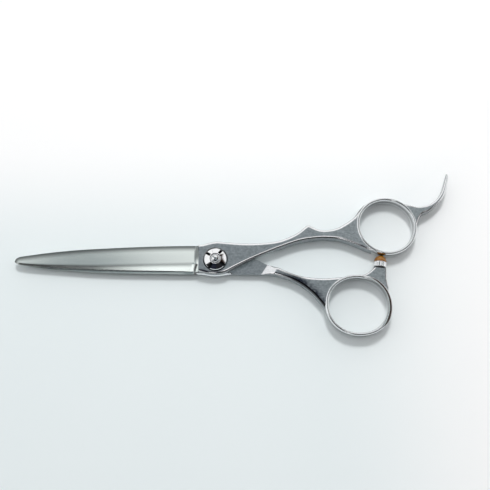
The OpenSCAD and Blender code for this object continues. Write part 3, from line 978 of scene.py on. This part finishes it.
def handle_steel():
    """Brushed flats with mirror-polished edges, by the polish mark, with painted shade and dark
    reflection by the dark mark.
    """
    material, tree, shader = new_material("brushed_and_polished_steel")
    shader.inputs["Metallic"].default_value = 1
    streak = use_group(tree, GRAIN, Grain=mark(tree, "grain", "Vector"))["Streak"]
    smudge = use_group(tree, HANDLING, Place=place(tree))["Smudge"]
    mottle = use_group(tree, MOTTLE, Place=place(tree), Streak=streak)["Mottle"]
    shade_mottle = use_group(tree, MOTTLE, Place=place(tree), Streak=smudge)["Mottle"]
    flat = use_group(tree, FLAT, Streak=streak, Mottle=mottle)
    edge = use_group(tree, EDGE, Smudge=smudge, Dark=mark(tree, "dark"))
    polish = mark(tree, "polish")
    tree.links.new(blend_value(tree, polish, flat["Roughness"], edge["Roughness"]),
                   shader.inputs["Roughness"])
    # painted shade and dark reflection, mottled by the smudges, from the dark mark
    painted_shade_amount = arithmetic(tree, "MULTIPLY", mark(tree, "dark"),
                      arithmetic(tree, "SUBTRACT", 1.25, shade_mottle))
    colour = blend_colour(tree, arithmetic(tree, "MINIMUM", painted_shade_amount, 1.0), flat["Colour"],
                          (0.045, 0.055, 0.085))
    tree.links.new(blend_colour(tree, polish, colour, edge["Colour"]),
                   shader.inputs["Base Color"])
    flatness = arithmetic(tree, "SUBTRACT", 1.0, polish)
    add_bump(tree, shader, arithmetic(tree, "MULTIPLY", streak, flatness), 0.35, 0.00003)
    return material


def blade_steel():
    """Satin ground faces, brushed pivot plate and polished edges, by the marks."""
    material, tree, shader = new_material("ground_blade_steel")
    shader.inputs["Metallic"].default_value = 1
    millimetres = tree.nodes.new("ShaderNodeVectorMath")
    millimetres.operation = "SCALE"
    millimetres.inputs["Scale"].default_value = 1 / MM
    tree.links.new(place(tree), millimetres.inputs[0])
    streak = use_group(tree, GRAIN, Grain=millimetres.outputs[0])["Streak"]
    smudge = use_group(tree, HANDLING, Place=place(tree))["Smudge"]
    mottle = use_group(tree, MOTTLE, Place=place(tree), Streak=streak)["Mottle"]
    flat = use_group(tree, FLAT, Streak=streak, Mottle=mottle)
    edge = use_group(tree, EDGE, Smudge=smudge, Dark=mark(tree, "dark"))
    away = use_group(tree, AXIS, Place=place(tree))["Distance"]
    polish = arithmetic(tree, "MAXIMUM", mark(tree, "polish"),
                        arithmetic(tree, "LESS_THAN", away, RECESS_EDGE * MM))
    ground = mark(tree, "ground")
    satin_rough = arithmetic(tree, "ADD", arithmetic(tree, "MULTIPLY", streak, 0.08), 0.2)
    rough = blend_value(tree, ground, flat["Roughness"], satin_rough)
    tree.links.new(blend_value(tree, polish, rough, edge["Roughness"]),
                   shader.inputs["Roughness"])
    satin = blend_colour(tree, streak, (0.66, 0.72, 0.70), (0.77, 0.82, 0.80))
    # painted shade and dark reflections on the satin, by the dark mark
    shaded_satin = blend_colour(tree, mark(tree, "dark"), satin, (0.10, 0.115, 0.115))
    colour = blend_colour(tree, ground, flat["Colour"], shaded_satin)
    tree.links.new(blend_colour(tree, polish, colour, edge["Colour"]),
                   shader.inputs["Base Color"])
    # the satin keeps a quarter of the flats' relief, and the polish none
    flatness = arithmetic(tree, "SUBTRACT", 1.0, polish)
    calm = arithmetic(tree, "SUBTRACT", flatness, arithmetic(tree, "MULTIPLY", ground, 0.75))
    relief = arithmetic(tree, "MULTIPLY", streak, arithmetic(tree, "MAXIMUM", calm, 0.0))
    add_bump(tree, shader, relief, 0.35, 0.00003)
    return material


def slot_shade(tree):
    """1 down in the dial's notches, where their shade is painted in."""
    away = use_group(tree, AXIS, Place=place(tree))["Distance"]
    height = axes(tree, place(tree))[2]
    crown = arithmetic(tree, "ADD", arithmetic(tree, "MULTIPLY", away, -CROWN_FALL),
                       (CROWN_Z + CROWN_FALL * CROWN_R) * MM)
    fade = ramp(tree, arithmetic(tree, "SUBTRACT", crown, height), 0.1 * MM, 0.5 * MM)
    near = arithmetic(tree, "LESS_THAN", away, DIAL_R * MM)
    past = arithmetic(tree, "GREATER_THAN", away, SLOT_SHADE_R * MM)
    above = arithmetic(tree, "GREATER_THAN", height, SLOT_SHADE_Z * MM)
    return arithmetic(tree, "MULTIPLY", arithmetic(tree, "MULTIPLY", fade, past),
                      arithmetic(tree, "MULTIPLY", near, above))


def polished_steel():
    """Mirror polish with soft smudges and hair scratches, and painted shade on the beads' sides
    and in the dial's notches.
    """
    material, tree, shader = new_material("mirror_steel")
    shader.inputs["Metallic"].default_value = 1
    wear = use_group(tree, HANDLING, Place=place(tree))
    scratch = arithmetic(tree, "ADD", arithmetic(tree, "MULTIPLY", wear["Scratch"], 0.12), 0.03)
    rough = arithmetic(tree, "ADD", arithmetic(tree, "MULTIPLY", wear["Smudge"], 0.1), scratch)
    tree.links.new(rough, shader.inputs["Roughness"])
    clean = blend_colour(tree, wear["Smudge"], (0.78, 0.79, 0.80), (0.84, 0.85, 0.86))
    # painted shade on the beads' sides, then painted shade in the dial's notches
    shaded_polish = blend_colour(tree, mark(tree, "dark"), clean, PAINTED_SHADE)
    tree.links.new(blend_colour(tree, slot_shade(tree), shaded_polish, (0.03, 0.03, 0.03)),
                   shader.inputs["Base Color"])
    add_bump(tree, shader, wear["Smudge"], 0.08, 0.0001)
    return material


def turned_steel():
    """Plain turned steel with rings left by the tool."""
    material, tree, shader = new_material("turned_steel")
    shader.inputs["Metallic"].default_value = 1
    away = use_group(tree, AXIS, Place=place(tree))["Distance"]
    rings = arithmetic(tree, "SINE", arithmetic(tree, "MULTIPLY", away, 42000.0))
    smudge = use_group(tree, HANDLING, Place=place(tree))["Smudge"]
    dull = arithmetic(tree, "ADD", arithmetic(tree, "MULTIPLY", smudge, 0.12), 0.2)
    rough = arithmetic(tree, "ADD", arithmetic(tree, "MULTIPLY", rings, 0.04), dull)
    tree.links.new(rough, shader.inputs["Roughness"])
    tree.links.new(blend_colour(tree, smudge, (0.42, 0.43, 0.45), (0.58, 0.59, 0.61)),
                   shader.inputs["Base Color"])
    add_bump(tree, shader, rings, 0.2, 0.00001)
    return material


def speckled(name, dark, light, rough_low, rough_high, metal=0.0):
    """Moulded or sintered surface with fine grain in its colour, gloss and height."""
    material, tree, shader = new_material(name)
    shader.inputs["Metallic"].default_value = metal
    grain = stretched_noise(tree, place(tree), (2400,) * 3, 4, 0.6)
    broad = stretched_noise(tree, place(tree), (300,) * 3, 2, 0.5)
    tree.links.new(blend_colour(tree, broad, dark, light), shader.inputs["Base Color"])
    tree.links.new(blend_value(tree, grain, rough_low, rough_high), shader.inputs["Roughness"])
    add_bump(tree, shader, grain, 0.15, 0.00004)
    return material, shader


def amber_rubber():
    """Clear amber rubber: deep colour with light carried inside it."""
    material, shader = speckled("amber_rubber_clear", (0.19, 0.075, 0.006),
                                (0.32, 0.135, 0.012), 0.14, 0.3)
    for key, value in (("Subsurface Weight", 0.5), ("Subsurface Scale", 1.0),
                       ("Subsurface Radius", (0.0012, 0.0006, 0.0002)),
                       ("Coat Weight", 0.25), ("Coat Roughness", 0.1)):
        shader.inputs[key].default_value = value
    return material


def build_materials():
    """Every finish by its slot, set on the CAD nodes that stay in view."""
    finishes = {
        "blade_steel": blade_steel(),
        "handle_steel": handle_steel(),
        "polished_steel": polished_steel(),
        "plain_steel": turned_steel(),
        "bronze": speckled("sintered_bronze", (0.42, 0.26, 0.12), (0.58, 0.38, 0.18),
                           0.3, 0.45, 1.0)[0],
        "slip_plastic": speckled("slip_washer_plastic", (0.72, 0.72, 0.68),
                                 (0.82, 0.82, 0.78), 0.4, 0.55)[0],
        "amber_rubber": amber_rubber(),
        "black_rubber": speckled("washer_rubber", (0.006, 0.006, 0.007),
                                 (0.016, 0.016, 0.018), 0.5, 0.7)[0],
    }
    slots = {s["node"]: s["material_slot"] for s in frame["record"]["subparts"]}
    for name, obj in frame["nodes"].items():
        for slot in obj.material_slots:
            slot.material = finishes[slots[name]]
    return finishes


def paint(finishes):
    """Gives each made piece the finish of its slot."""
    for name, slot in SLOT_OF.items():
        materials = bpy.data.objects[name].data.materials
        materials.clear()
        materials.append(finishes[slot])


# ---- Table, light and camera --------------------------------------------------------

def build_stage():
    """Pale table with painted window light: brighter at the back and at the right."""
    mesh = bpy.data.meshes.new("table_top")
    mesh.from_pydata([(-3, -3, 0), (3, -3, 0), (3, 3, 0), (-3, 3, 0)], [], [(0, 1, 2, 3)])
    place_object("table_top", mesh)
    material, tree, shader = new_material("pale_table")
    broad = stretched_noise(tree, place(tree), (6, 6, 6), 2, 0.5)
    sheet = blend_colour(tree, broad, (0.76, 0.83, 0.84), (0.81, 0.86, 0.87))
    x, y, _ = axes(tree, place(tree))
    # painted light from the window, brighter at the back and at the right
    bright = arithmetic(tree, "MAXIMUM", ramp(tree, y, 0.0, 0.06, True),
                        ramp(tree, x, 0.04, 0.12, True))
    tree.links.new(blend_colour(tree, bright, sheet, (0.95, 0.95, 0.95)),
                   shader.inputs["Base Color"])
    shader.inputs["Roughness"].default_value = 0.6
    mesh.materials.append(material)


def area_light(name, place_at, size, power):
    """Round lamp aimed at the shears, which lights them but isn't mirrored in the steel."""
    light = bpy.data.lights.new(name, "AREA")
    light.shape = "DISK"
    light.size = size
    light.energy = power
    obj = place_object(name, light)
    obj.visible_glossy = False
    look_at(obj, place_at, (0.01, 0, 0))


def look_at(obj, place_at, aim):
    """Puts a lamp or camera in its place and aims it."""
    obj.location = place_at
    obj.rotation_euler = (Vector(aim) - Vector(place_at)).to_track_quat("-Z", "Y").to_euler()


def tent(tree, value, low, high, soft):
    """1 between two angles in degrees, falling to 0 over the soft distance outside them."""
    rising = ramp(tree, value, math.radians(low - soft), math.radians(low), True)
    falling = ramp(tree, value, math.radians(high + soft), math.radians(high), True)
    return arithmetic(tree, "MULTIPLY", rising, falling)


# The room, as a brightness that steel mirrors and the table is lit by
ROOM = (1.1, 1.1, 1.1)


def build_light():
    """Room drawn by direction, in degrees from straight above, and two lamps."""
    world = bpy.data.worlds.new("studio")
    bpy.context.scene.world = world
    world.use_nodes = True
    tree = world.node_tree
    tree.nodes.clear()
    direction = tree.nodes.new("ShaderNodeTexCoord").outputs["Generated"]
    across, back, up = axes(tree, direction)
    lean_y = arithmetic(tree, "ARCTAN2", back, up)
    lean_x = arithmetic(tree, "ARCTAN2", across, up)

    def patch(y_low, y_high, x_low, x_high, soft):
        return arithmetic(tree, "MULTIPLY", tent(tree, lean_y, y_low, y_high, soft),
                          tent(tree, lean_x, x_low, x_high, soft))

    # grey ceiling straight above, reaching further back on the left
    left = arithmetic(tree, "MINIMUM", arithmetic(tree, "ADD", lean_x, math.radians(6)), 0.0)
    bent = arithmetic(tree, "ADD", lean_y, arithmetic(
        tree, "MULTIPLY", arithmetic(tree, "MULTIPLY", left, left), -3.9))
    ceiling = arithmetic(tree, "MULTIPLY", tent(tree, bent, 4, 27, 6),
                         tent(tree, lean_x, -25, 31, 7))
    fade = ramp(tree, lean_x, math.radians(1), math.radians(15))
    grey = blend_colour(tree, fade, (0.165, 0.205, 0.225), (0.47, 0.52, 0.52))
    colour = blend_colour(tree, ceiling, ROOM, grey)
    # whoever leans over the table, darker at the left, with a bright gap above the blade
    colour = blend_colour(tree, patch(-180, -11, -55, 75, 4), colour, (0.02, 0.02, 0.022))
    colour = blend_colour(tree, patch(-33, -1, -26, 1, 4), colour, (0.015, 0.018, 0.03))
    colour = blend_colour(tree, patch(-54, -38, -14, -3, 4), colour, (2.2, 2.2, 2.2))
    # brown shelf at the right
    colour = blend_colour(tree, patch(-11, 48, 28, 41, 3), colour, (0.035, 0.02, 0.016))
    # the room itself is plain white to the eye
    seen = tree.nodes.new("ShaderNodeLightPath").outputs["Is Camera Ray"]
    colour = blend_colour(tree, seen, colour, ROOM)
    background = tree.nodes.new("ShaderNodeBackground")
    tree.links.new(colour, background.inputs["Color"])
    background.inputs["Strength"].default_value = 1.0
    out = tree.nodes.new("ShaderNodeOutputWorld")
    tree.links.new(background.outputs[0], out.inputs["Surface"])
    area_light("window_light", (0.05, 0.42, 0.62), 0.16, 2.6)
    area_light("ceiling_fill", (0.0, -0.1, 0.9), 0.8, 1.2)


def build_camera():
    """View from the front edge of the table, looking down at the shears."""
    camera = bpy.data.cameras.new("camera")
    camera.sensor_width = 36
    camera.lens = 43.0
    camera.clip_start = 0.01
    obj = place_object("camera", camera)
    look_at(obj, (0.01204, -0.06801, 0.23325), (0.01204, 0.00616, 0.005))
    bpy.context.scene.camera = obj


still_blade, moving_blade = build_halves()
build_rings()
build_pivot(still_blade, moving_blade)
build_bumper()
paint(build_materials())
build_stage()
build_light()
build_camera()
bpy.context.scene.view_settings.view_transform = "Standard"
